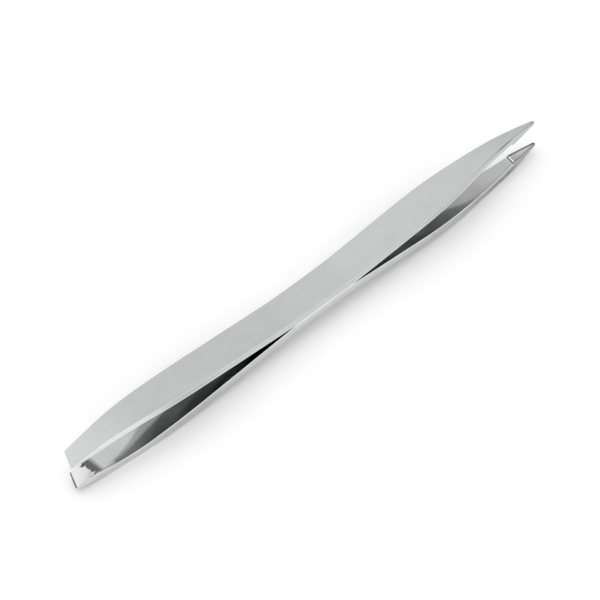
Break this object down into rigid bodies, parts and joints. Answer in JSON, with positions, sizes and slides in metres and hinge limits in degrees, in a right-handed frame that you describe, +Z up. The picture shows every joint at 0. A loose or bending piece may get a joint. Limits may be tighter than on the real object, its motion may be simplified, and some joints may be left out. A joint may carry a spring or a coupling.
{
  "type": "double-ended tweezers",
  "caption": "Double-ended spring tweezers: mirrored steel leaves welded at the waist, one end ground to a slanted edge and the other to a point.",
  "frame": {"origin": "middle of the tool on the surface it lies on", "axes": "+X along the tool towards the pointed jaws, +Y across the leaves away from the slanted edge's longer corner, +Z up, the direction the jaws close in"},
  "size_m": [0.115, 0.0074, 0.0084],
  "materials": {
    "leaf_steel": "polished stainless spring steel with a fine lengthwise grain",
    "weld_steel": "fused steel inside the joint, never seen"
  },
  "bodies": {
    "waist": {"upper_leaf_waist": "leaf_steel", "lower_leaf_waist": "leaf_steel", "spot_welds": "weld_steel"},
    "upper_slant_jaw": {"upper_slant_arm": "leaf_steel"},
    "lower_slant_jaw": {"lower_slant_arm": "leaf_steel"},
    "upper_point_jaw": {"upper_point_arm": "leaf_steel"},
    "lower_point_jaw": {"lower_point_arm": "leaf_steel"}
  },
  "joints": [
    {"name": "upper_slant_flex", "type": "hinge", "parent": "waist", "child": "upper_slant_jaw", "pos_m": [-0.0145, 0, 0.00553], "axis": [0, -1, 0], "range_deg": [0, 3.45], "stiffness_Nm_per_rad": 2},
    {"name": "lower_slant_flex", "type": "hinge", "parent": "waist", "child": "lower_slant_jaw", "pos_m": [-0.0145, 0, 0.00292], "axis": [0, 1, 0], "range_deg": [0, 3.45], "stiffness_Nm_per_rad": 2},
    {"name": "upper_point_flex", "type": "hinge", "parent": "waist", "child": "upper_point_jaw", "pos_m": [0.0145, 0, 0.00553], "axis": [0, 1, 0], "range_deg": [0, 3.45], "stiffness_Nm_per_rad": 2},
    {"name": "lower_point_flex", "type": "hinge", "parent": "waist", "child": "lower_point_jaw", "pos_m": [0.0145, 0, 0.00292], "axis": [0, -1, 0], "range_deg": [0, 3.45], "stiffness_Nm_per_rad": 2}
  ]
}
